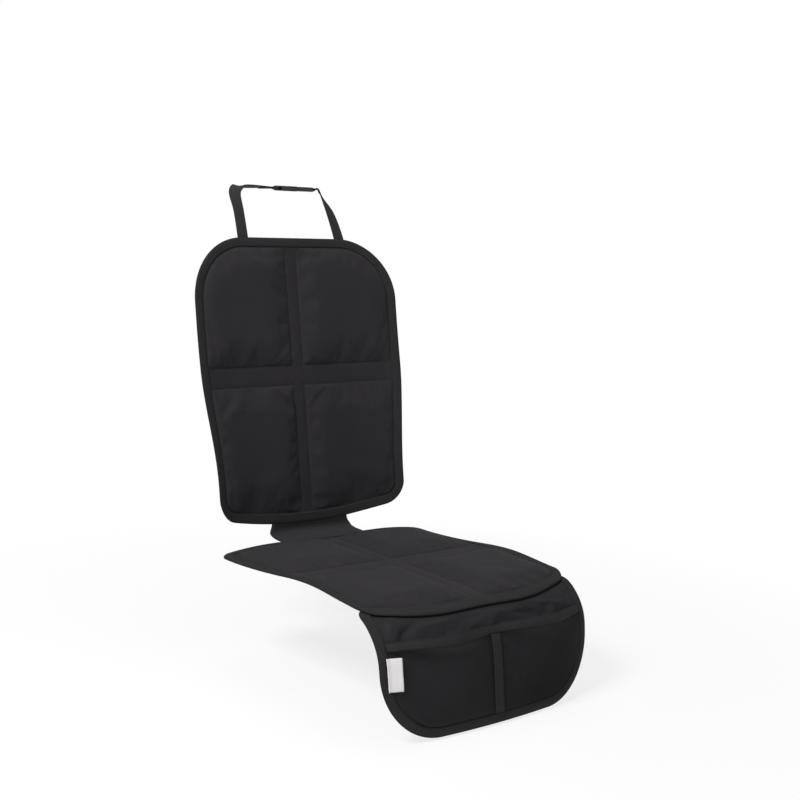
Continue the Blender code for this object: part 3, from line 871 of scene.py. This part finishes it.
backEdge = panelOutline(backPanel, tape["step"])
seatEdge = panelOutline(seatPanel, tape["step"])
flapEdge = panelOutline(flapPanel, tape["step"], False)
tapeSizes = (tape["gap"], tape["thick"], mat["tapeDepth"])
backBinding = foldedTape("backBinding", backEdge, atPad, *tapeSizes, True, 1)
seatBinding = foldedTape("seatBinding", seatEdge, atPad, *tapeSizes, True, 2)
flapBinding = foldedTape("flapBinding", flapEdge, atFlap, *tapeSizes, False, 3)
print("bindings made")

waistCloth = {
    "halfWidth": 0.096,
    "underSeat": 0.004,  # sewn under the seat panel's tape, and so on under the back's
    "underBack": 0.005,
    "lift": 0.0027,
    "endRise": 0.0008,
    "thick": 0.0022,
    "stitchInset": 0.004,
    "stitchLifts": (0.0040, 0.0014),  # on its upper and under side
}


def atWaist(x, run):
    return waistCloth["lift"] + waistCloth["endRise"] * ramp(abs(run), 0.030, 0.044)


waistRuns = evenly(mat["seatHigh"] - waistCloth["underSeat"], mat["backLow"] + waistCloth["underBack"], 34)
waistColumns = evenly(-waistCloth["halfWidth"], waistCloth["halfWidth"], 30)
waistRings = [[onMat(x, run, atWaist(x, run)) for x in waistColumns] for run in waistRuns]
waist = skin("waistStrip", waistRings, waistRuns, waistColumns, clothFinish)
thicken(waist, waistCloth["thick"])
print("waist strip made")
flap = makeFlap()
print("flap made")

pocket = {
    "hemDepth": 0.014,
    "hemGap": 0.0006,
    "hemThick": 0.0008,
    "hemReach": 0.0014,  # past the net at each end, up to the binding
    "sideDrop": 0.0014,  # the net is sewn down to the flap along its side
    "sideReach": 0.022,
    "gape": 0.019,  # how far each pocket's mouth stands open
    "lift": 0.0028,  # of the net above the flap
    "dividerHalfWidth": 0.010,
    "cell": 0.0026,
    "thread": 0.00027,
    "dividerThick": 0.0009,
    "dividerLift": 0.0013,  # above the net's lowest part
    "dividerCrown": 0.0004,
    "labelSize": (0.0245, 0.0525),
    "labelInset": 0.0125,
    "labelDrop": 0.010,
    "labelThick": 0.0006,
    "labelLift": 0.0012,
    "labelRipple": 0.0004,
}

netHalfWidth = mat["halfWidth"] - mat["tapeDepth"] - 0.0006
netLow = mat["flapLow"] + mat["tapeDepth"] + 0.0006
netCorner = mat["flapCorner"] - mat["tapeDepth"]
netMiddle = flapCloth["lift"] + flapCloth["cadThick"] + pocket["lift"]


def atNet(x, run):
    # a pocket stands open most in the middle of its mouth
    across = (abs(x) - pocket["dividerHalfWidth"]) / (netHalfWidth - pocket["dividerHalfWidth"])
    across = min(max(across, 0), 1)
    up = min(max((run - netLow) / (mat["hemRun"] - netLow), 0), 1)
    sewnDown = pocket["sideDrop"] * ramp(abs(x), netHalfWidth - pocket["sideReach"], netHalfWidth)
    return netMiddle - sewnDown + pocket["gape"] * math.sin(math.pi * across) * math.sin(math.pi / 2 * up)


def newTree(name, sizes):
    # a geometry tree with the named sizes and a material as inputs
    tree = bpy.data.node_groups.new(name, "GeometryNodeTree")
    tree.interface.new_socket("Geometry", in_out="INPUT", socket_type="NodeSocketGeometry")
    sockets = {}
    for label, value in sizes.items():
        kind = "NodeSocketInt" if isinstance(value, int) else "NodeSocketFloat"
        socket = tree.interface.new_socket(label, in_out="INPUT", socket_type=kind)
        socket.default_value = value
        sockets[label] = socket.identifier
    look = tree.interface.new_socket("Material", in_out="INPUT", socket_type="NodeSocketMaterial")
    sockets["Material"] = look.identifier
    tree.interface.new_socket("Geometry", in_out="OUTPUT", socket_type="NodeSocketGeometry")
    make = nodeMaker(tree)
    return tree, sockets, make, make("NodeGroupInput").outputs


def finishTree(make, geometry, material):
    real = make("GeometryNodeRealizeInstances", {0: geometry}).outputs[0]
    soft = make("GeometryNodeSetShadeSmooth", {0: real}).outputs[0]
    coloured = make("GeometryNodeSetMaterial", {"Geometry": soft, "Material": material}).outputs[0]
    make("NodeGroupOutput", {0: coloured})


def threadTree():
    # a round thread along every line of the mesh
    tree, sockets, make, given = newTree("netThreads", {"Thread Radius": 0.0002, "Sides": 3})
    curve = make("GeometryNodeMeshToCurve", {0: given["Geometry"]}).outputs[0]
    ring = {"Resolution": given["Sides"], "Radius": given["Thread Radius"]}
    ring = make("GeometryNodeCurvePrimitiveCircle", ring).outputs[0]
    tube = make("GeometryNodeCurveToMesh", {"Curve": curve, "Profile Curve": ring}).outputs[0]
    finishTree(make, tube, given["Material"])
    return tree, sockets


def stitchTree():
    # a plump stitch at every pitch along the lines of the mesh
    sizes = {"Pitch": 0.0034, "Stitch Length": 0.0028, "Thickness": 0.0005}
    tree, sockets, make, given = newTree("stitchRow", sizes)
    curve = make("GeometryNodeMeshToCurve", {0: given["Geometry"]}).outputs[0]
    spots = {"Curve": curve, "Length": given["Pitch"]}
    spots = make("GeometryNodeResampleCurve", spots, mode="LENGTH").outputs[0]
    drop = make("GeometryNodeMeshUVSphere", {"Segments": 6, "Rings": 4, "Radius": 0.5}).outputs[0]
    way = make("GeometryNodeInputTangent").outputs[0]
    turn = make("FunctionNodeAlignRotationToVector", {"Vector": way}, axis="Z").outputs[0]
    size = {0: given["Thickness"], 1: given["Thickness"], 2: given["Stitch Length"]}
    size = make("ShaderNodeCombineXYZ", size).outputs[0]
    row = {"Points": spots, "Instance": drop, "Rotation": turn, "Scale": size}
    row = make("GeometryNodeInstanceOnPoints", row).outputs[0]
    finishTree(make, row, given["Material"])
    return tree, sockets


netTree, netSockets = threadTree()
rowTree, rowSockets = stitchTree()


def alongLines(name, lines, tree, sockets, values):
    points, edges = [], []
    for line in lines:
        start = len(points)
        points += line
        edges += [(n, n + 1) for n in range(start, len(points) - 1)]
    made = meshObject(name, points, edges, [])
    nodes = made.modifiers.new(tree.name, "NODES")
    nodes.node_group = tree
    for label, value in values.items():
        nodes[sockets[label]] = value
    return bake(made)


def netLines(side):
    # zigzag threads that touch their neighbours, as in a knitted net
    stride, rise = pocket["cell"] * 0.5, pocket["cell"] * 0.375
    inner, outer = pocket["dividerHalfWidth"] - 0.003, netHalfWidth - 0.0005
    lines = []
    for row in range(int((mat["hemRun"] - 0.006 - netLow) / (rise * 2))):
        base = netLow + 0.001 + row * rise * 2
        reach, depth = outer, netCorner - (base - netLow)
        if depth > 0:
            reach = outer - netCorner + math.sqrt(max(netCorner**2 - depth**2, 0))
        line = []
        for step in range(int((reach - inner) / stride) + 1):
            x = side * (inner + step * stride)
            run = max(base + (rise if (step + row) % 2 else -rise), netLow)
            line.append(onMat(x, run, atNet(x, run)))
        if len(line) > 1:
            lines.append(line)
    return lines


netThreadValues = {"Thread Radius": pocket["thread"], "Sides": 3, "Material": netFinish}
netLeft = alongLines("pocketNetLeft", netLines(-1), netTree, netSockets, netThreadValues)
netRight = alongLines("pocketNetRight", netLines(1), netTree, netSockets, netThreadValues)
print("nets made", len(netLeft.data.polygons))

hemEnd = netHalfWidth + pocket["hemReach"]
hemPath = [(x, mat["hemRun"], 0, 1) for x in evenly(hemEnd, -hemEnd, 110)]
hemSizes = (pocket["hemGap"], pocket["hemThick"], pocket["hemDepth"])
hem = foldedTape("pocketHem", hemPath, atNet, *hemSizes, False, 4)


def thinPiece(name, columns, rows, lift, thickness, look):
    rings = [[onMat(x, run, lift(x, run)) for x in columns] for run in rows]
    across = [x - columns[0] + 0.005 for x in columns]  # clear of the tape's painted rim shade at zero
    return thicken(skin(name, rings, rows, across, look), thickness)


dividerLift = netMiddle + pocket["dividerLift"]


def atDivider(x, run):
    return dividerLift + pocket["dividerCrown"] * math.cos(math.pi * x / 2 / pocket["dividerHalfWidth"])


dividerColumns = evenly(-pocket["dividerHalfWidth"], pocket["dividerHalfWidth"], 6)
dividerRows = evenly(netLow, mat["hemRun"] - pocket["hemDepth"] - 0.0006, 40)
dividerSizes = (dividerColumns, dividerRows, atDivider, pocket["dividerThick"])
divider = thinPiece("pocketDivider", *dividerSizes, tapeFinish)

labelLeft = -mat["halfWidth"] + pocket["labelInset"]
labelTop = mat["hemRun"] - pocket["hemDepth"] - pocket["labelDrop"]
labelRight, labelLow = labelLeft + pocket["labelSize"][0], labelTop - pocket["labelSize"][1]


def atLabel(x, run):
    ripple = pocket["labelRipple"] * math.sin((run - labelLow) * 140) * ramp(x, labelLeft, labelRight)
    return atNet(x, run) + pocket["labelLift"] + ripple


labelColumns, labelRows = evenly(labelLeft, labelRight, 12), evenly(labelLow, labelTop, 24)
label = thinPiece("bareLabel", labelColumns, labelRows, atLabel, pocket["labelThick"], labelFinish)
print("pockets made")

straps = {
    "x": 0.1131,  # of the sewn ends, to each side of shift
    "shift": 0.005,
    "tops": (-0.1125, 0.096),  # x where each strap turns across
    "turns": (((1, 0, 0), (0.94, -0.30, 0)), ((0.97, 0.25, 0), (0.66, 0.75, 0))),  # half way and near the top
    "roll": 0.29,  # the free span across isn't quite level
    "halfWidth": 0.012,
    "thick": 0.0014,
    "lift": -0.0022,
    "sewn": 0.045,  # behind the back panel
    "loopY": 0.4193,
    "loopZ": 0.671,
    "barWidth": 0.0038,
    "barHalfHeight": 0.0018,
    "barClear": 0.0004,
    "layerSpace": 0.0008,
    "bars": (-0.0041, 0.0661),  # x of the buckle's two bars
    "tails": (0.042, 0.014),  # how far each end is turned back
    "flatFrom": 0.027,  # from the turn to where the webbing lies flat
    "flatTo": 0.011,  # and from there to the buckle's bar
    "barRun": 0.006,
    "sewnSteps": (1, 16),  # the box of stitches lies between these steps of the webbing
    "stitchInset": 0.0022,
    "stitchLift": 0.0009,
}


def smoothLine(stops, steps):
    line = []
    for n in range(len(stops) - 1):
        near = [stops[min(max(n + k, 0), len(stops) - 1)] for k in (-1, 0, 1, 2)]
        for share in evenly(0, 1, steps)[:-1]:
            mixed = []
            for a, b, c, d in zip(*near):
                curve = b * 2 + (c - a) * share + (a * 2 - b * 5 + c * 4 - d) * share**2
                mixed.append((curve + (b * 3 - a - c * 3 + d) * share**3) / 2)
            line.append(mixed)
    return line + [list(stops[-1])]


def strapLine(side, topX, barX, tail, turns):
    sewnX = side * straps["x"] + straps["shift"]
    sewn = [onMat(sewnX, mat["backHigh"] + rise, straps["lift"]) for rise in (-straps["sewn"], -0.012, 0.004)]
    across = Vector((1, 0, 0))
    toward = -side
    loopY, loopZ, space = straps["loopY"], straps["loopZ"], straps["layerSpace"]
    top = Vector((topX, loopY, loopZ))
    flatFrom = min(straps["flatFrom"], abs(barX - topX) * 0.45)
    flatTo = min(straps["flatTo"], abs(barX - topX) * 0.40)
    flat = Vector((0, side, 0))

    def rolled(share):
        return Vector((0, side, -straps["roll"] * share * side))

    stops = [(place, across) for place in sewn]
    stops += [
        (sewn[-1].lerp(top, 0.5) + Vector((0, -0.0045, 0)), Vector(turns[0])),
        (sewn[-1].lerp(top, 0.85) + Vector((toward * 0.002, 0, 0)), Vector(turns[1])),
        (top + Vector((toward * flatFrom * 0.4, -0.002, -0.001)), Vector((0.45, 0.80 * side, 0.35 * side))),
        (top + Vector((toward * flatFrom, 0, space)), rolled(1)),
        (Vector((barX - toward * flatTo, loopY, loopZ + space)), rolled(0.1)),
    ]
    line = smoothLine(stops, 10)
    reach = straps["barHalfHeight"] + straps["barClear"] + straps["thick"] / 2
    start, before = barX + toward * straps["barWidth"] / 2, barX - toward * straps["barRun"]
    line.append((Vector((before, loopY, loopZ + reach)), flat))
    for angle in evenly(90, -90, 12):
        way = math.radians(angle)
        x, z = start + toward * reach * math.cos(way), loopZ + reach * math.sin(way)
        line.append((Vector((x, loopY, z)), flat))
    line.append((Vector((before, loopY, loopZ - reach)), flat))
    for back in (flatTo, (flatTo + tail) / 2, tail):
        share = max(back - flatTo, 0) / (abs(barX - topX) - flatFrom - flatTo)
        line.append((Vector((barX - toward * back, loopY, loopZ - space)), rolled(0.1 + 0.9 * share)))
    return line


def strapFrames(line):
    # (place, across, outward) at each step of the webbing
    frames = []
    for n, (place, way) in enumerate(line):
        along = (line[min(n + 1, len(line) - 1)][0] - line[max(n - 1, 0)][0]).normalized()
        way = (way - along * way.dot(along)).normalized()
        frames.append((place, way, way.cross(along)))
    return frames


def strapPiece(name, line):
    half, thick = straps["halfWidth"], straps["thick"] / 2
    top = [(-half + 0.0003, 0.75), (-half + 0.0012, 1.0), (-half / 2, 0.92), (0, 0.95), (half / 2, 0.92)]
    top += [(half - 0.0012, 1.0), (half - 0.0003, 0.75)]
    section = [(-half, 0)] + [(a, b * thick) for a, b in top]
    section += [(half, 0)] + [(a, -b * thick) for a, b in reversed(top)]
    rings, us, length = [], [], 0.0
    frames = strapFrames(line)
    for n, (place, way, out) in enumerate(frames):
        if n:
            length += (place - frames[n - 1][0]).length
        us.append(length)
        rings.append([place + way * a + out * b for a, b in section])
    vs = [a for a, _ in section] + [section[0][0]]
    return skin(name, rings, us, vs, webbingFinish, True)


strapLines = []
for side, *ends in zip((-1, 1), straps["tops"], straps["bars"], straps["tails"], straps["turns"]):
    strapLines.append(strapLine(side, *ends))
strapPieces = [strapPiece(name, line) for name, line in zip(("strapLeft", "strapRight"), strapLines)]
print("straps made")

stitching = {"pitch": 0.0034, "length": 0.0028, "thick": 0.0005, "tapeLift": 0.0003, "padLift": 0.0001}
labelStitching = {"pitch": 0.0024, "length": 0.0019, "thick": 0.00035, "inset": 0.0016, "lift": 0.0004}


def tapeStitches(path, middle, gap, thick, depth, closed):
    lines = []
    for side in (1, -1):
        line = []
        for x, run, outX, outRun in path + (path[:1] if closed else []):
            inward = depth - tape["stitchInset"]
            px, pr = x - outX * inward, run - outRun * inward
            line.append(onMat(px, pr, middle(px, pr) + side * (gap + thick + stitching["tapeLift"])))
        lines.append(line)
    return lines


def padStitches(panel, channel, middle):
    low, high, _, _, half = panel
    edge = mat["tapeDepth"] + 0.001
    routes = []
    for x in (middle - pads["channelHalfWidth"], middle + pads["channelHalfWidth"]):
        routes.append([(x, run) for run in evenly(low + edge, high - edge, 120)])
    for run in channel:
        routes.append([(x, run) for x in evenly(-half + edge, half - edge, 110)])
    lines = []
    for upper in (True, False):
        for route in routes:
            line = []
            for x, run in route:
                lift = padBase(x, run, panel)
                if upper:
                    lift += padHeight(x, run, panel, channel, middle) + stitching["padLift"]
                line.append(onMat(x, run, lift))
            lines.append(line)
    return lines


def gridLine(places, lift):
    line = []
    for a, b in zip(places, places[1:]):
        for share in evenly(0, 1, 30)[:-1]:
            x, run = a[0] + (b[0] - a[0]) * share, a[1] + (b[1] - a[1]) * share
            line.append(onMat(x, run, lift(x, run)))
    return line + [onMat(*places[-1], lift(*places[-1]))]


def strapStitches(line, first, last):
    # a box with a cross in it, sewn through the webbing between two of its steps
    frames = strapFrames(line)[first : last + 1]
    half = straps["halfWidth"] - straps["stitchInset"]
    end = len(frames) - 1
    steps, widths = range(end + 1), evenly(-half, half, 4)
    routes = [[(0, a) for a in widths], [(end, a) for a in widths]]
    for edge in (-half, half):
        routes += [[(n, edge) for n in steps], [(n, edge * (1 - 2 * n / end)) for n in steps]]
    lines = []
    for lift in (straps["stitchLift"], -straps["stitchLift"]):
        for route in routes:
            lines.append([frames[n][0] + frames[n][1] * a + frames[n][2] * lift for n, a in route])
    return lines


def stitchRow(name, lines, sizes, thread):
    values = {"Pitch": sizes["pitch"], "Stitch Length": sizes["length"], "Thickness": sizes["thick"]}
    return alongLines(name, lines, rowTree, rowSockets, dict(values, Material=thread))


backLines = tapeStitches(backEdge, atPad, *tapeSizes, True)
backLines += padStitches(backPanel, pads["backChannel"], pads["backChannelX"])
seatLines = tapeStitches(seatEdge, atPad, *tapeSizes, True)
seatLines += padStitches(seatPanel, pads["seatChannel"], 0)
flapLines = tapeStitches(flapEdge, atFlap, *tapeSizes, False)
flapLines += tapeStitches(hemPath, atNet, *hemSizes, False)
dividerRuns = (netLow + 0.001, mat["hemRun"] - pocket["hemDepth"] - 0.001)
for x in (-0.0075, 0.0075):
    flapLines.append(gridLine([(x, run) for run in dividerRuns], lambda x, run: dividerLift + 0.0008))
waistSide = waistCloth["halfWidth"] - waistCloth["stitchInset"]
waistLines = []
for x in (-waistSide, waistSide):
    for lift in waistCloth["stitchLifts"]:
        ends = [(x, waistRuns[0] + 0.002), (x, waistRuns[-1] - 0.002)]
        waistLines.append(gridLine(ends, lambda x, run: lift))
strapBoxes = []
for line in strapLines:
    strapBoxes += strapStitches(line, *straps["sewnSteps"])
labelEdge = labelStitching["inset"]
left, right = labelLeft + labelEdge, labelRight - labelEdge
low, high = labelLow + labelEdge, labelTop - labelEdge
labelCorners = [(left, low), (right, low), (right, high), (left, high), (left, low)]
labelLines = [gridLine(labelCorners, lambda x, run: atLabel(x, run) + labelStitching["lift"])]

backStitches = stitchRow("backStitches", backLines, stitching, stitchFinish)
seatStitches = stitchRow("seatStitches", seatLines, stitching, stitchFinish)
flapStitches = stitchRow("flapStitches", flapLines, stitching, stitchFinish)
waistStitches = stitchRow("waistStitches", waistLines, stitching, stitchFinish)
strapStitching = stitchRow("strapStitches", strapBoxes, stitching, stitchFinish)
labelStitches = stitchRow("labelStitches", labelLines, labelStitching, labelThread)
print("stitches made")

# Each piece, the node that it stands for and the slot that its finish goes to
dressed = (
    (backPad, "back_pad", "mat_cloth"),
    (seatPad, "seat_pad", "mat_cloth"),
    (waist, "waist_strip", "mat_cloth"),
    (flap, "front_flap", "mat_cloth"),
    (backBinding, "back_binding", "binding_tape"),
    (seatBinding, "seat_binding", "binding_tape"),
    (flapBinding, "flap_binding", "binding_tape"),
    (hem, "pocket_hem", "binding_tape"),
    (divider, "pocket_divider", "binding_tape"),
    (netLeft, "pocket_net", "pocket_net"),
    (netRight, "pocket_net", "pocket_net"),
    (strapPieces[0], "strap_left", "strap_webbing"),
    (strapPieces[1], "strap_right", "strap_webbing"),
    (label, "blank_label", "blank_label"),
)
for piece, node, slotName in dressed:
    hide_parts(node)
    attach(piece, "root")
for piece in (backStitches, seatStitches, flapStitches, waistStitches, strapStitching, labelStitches):
    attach(piece, "root")

for nodeName in ("buckle_socket", "buckle_plug"):
    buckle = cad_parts[nodeName]
    for holder in buckle.material_slots:
        holder.material = plasticFinish

studio = {
    "floorDrop": 0.004,
    "floorHalf": 14,
    "floorColour": (0.90, 0.90, 0.905),
    "floorGlow": 0.80,  # near the mat
    "whiteFrom": (0.55, 1.25),  # the floor fades to white between these distances
    "roomLight": 0.16,
    # place, target, side and power of each lamp
    "lamps": {
        "keyBox": ((-2.1, -0.6, 2.2), (0, 0.1, 0.2), 0.9, 92),
        "fillBox": ((1.9, -1.6, 1.1), (0, 0.1, 0.1), 1.6, 6),
        "topBox": ((0.1, 0.3, 2.3), (0, 0.1, 0.2), 1.6, 14),
        "backBox": ((0.6, 2.2, 1.5), (0, 0.3, 0.3), 1.6, 6),
    },
}


def makeFloor():
    half, z = studio["floorHalf"], cadBox[0][2] - studio["floorDrop"]
    corners = [(-half, -half, z), (half, -half, z), (half, half, z), (-half, half, z)]
    made = meshObject("studioFloor", corners, [], [(0, 1, 2, 3)])
    look = bpy.data.materials.new("studioPaper")
    look.use_nodes = True
    make = nodeMaker(look.node_tree)
    paper = look.node_tree.nodes["Principled BSDF"]
    paper.inputs["Base Color"].default_value = (*studio["floorColour"], 1)
    paper.inputs["Roughness"].default_value = 0.9
    rays = make("ShaderNodeLightPath").outputs
    seen = mathNode(make, "MAXIMUM", rays["Is Camera Ray"], rays["Is Glossy Ray"])
    glow = make("ShaderNodeEmission", {"Color": (1, 1, 1, 1), "Strength": 1.0}).outputs[0]
    spot = make("ShaderNodeTexCoord").outputs["Object"]
    away = make("ShaderNodeVectorMath", {0: spot}, operation="LENGTH").outputs["Value"]
    far = spread(make, away, studio["whiteFrom"], (studio["floorGlow"], 1.0))
    share = mathNode(make, "MULTIPLY", seen, far)
    joined = make("ShaderNodeMixShader", {0: share, 1: paper.outputs[0], 2: glow}).outputs[0]
    look.node_tree.links.new(joined, look.node_tree.nodes["Material Output"].inputs["Surface"])
    made.data.materials.append(look)


def makeRoom():
    world = bpy.data.worlds.new("studioRoom")
    bpy.context.scene.world = world
    world.use_nodes = True
    make = nodeMaker(world.node_tree)
    room = world.node_tree.nodes["Background"]
    room.inputs["Color"].default_value = (1, 1, 1, 1)
    rays = make("ShaderNodeLightPath").outputs
    seen = mathNode(make, "MAXIMUM", rays["Is Camera Ray"], rays["Is Transmission Ray"])
    feed(room, "Strength", spread(make, seen, wanted=(studio["roomLight"], 1.0)))


def makeLamp(name, place, target, side, power):
    lamp = bpy.data.lights.new(name, "AREA")
    lamp.shape = "RECTANGLE"
    lamp.size = lamp.size_y = side
    lamp.energy = power
    made = newObject(name, lamp)
    made.location = place
    made.rotation_euler = (Vector(target) - Vector(place)).to_track_quat("-Z", "Y").to_euler()


makeFloor()
makeRoom()
for name, settings in studio["lamps"].items():
    makeLamp(name, *settings)

# The camera stands as in the photograph
view = {
    "lens": 62.717,
    "sensor": 36,
    "place": (-1.56171778, -1.94607218, 0.68186521),
    "right": (0.78413545, -0.61861575, 0.0494586),
    "up": (0.05443552, 0.14795124, 0.98749542),
    "back": (-0.61819768, -0.77163786, 0.14968848),
}
lens = bpy.data.cameras.new("photoCamera")
lens.lens, lens.sensor_width = view["lens"], view["sensor"]
camera = newObject("photoCamera", lens)
turned = Matrix((view["right"], view["up"], view["back"])).transposed().to_4x4()
camera.matrix_world = Matrix.Translation(Vector(view["place"])) @ turned
bpy.context.scene.camera = camera
bpy.context.scene.view_settings.view_transform = "Standard"
print("studio made")
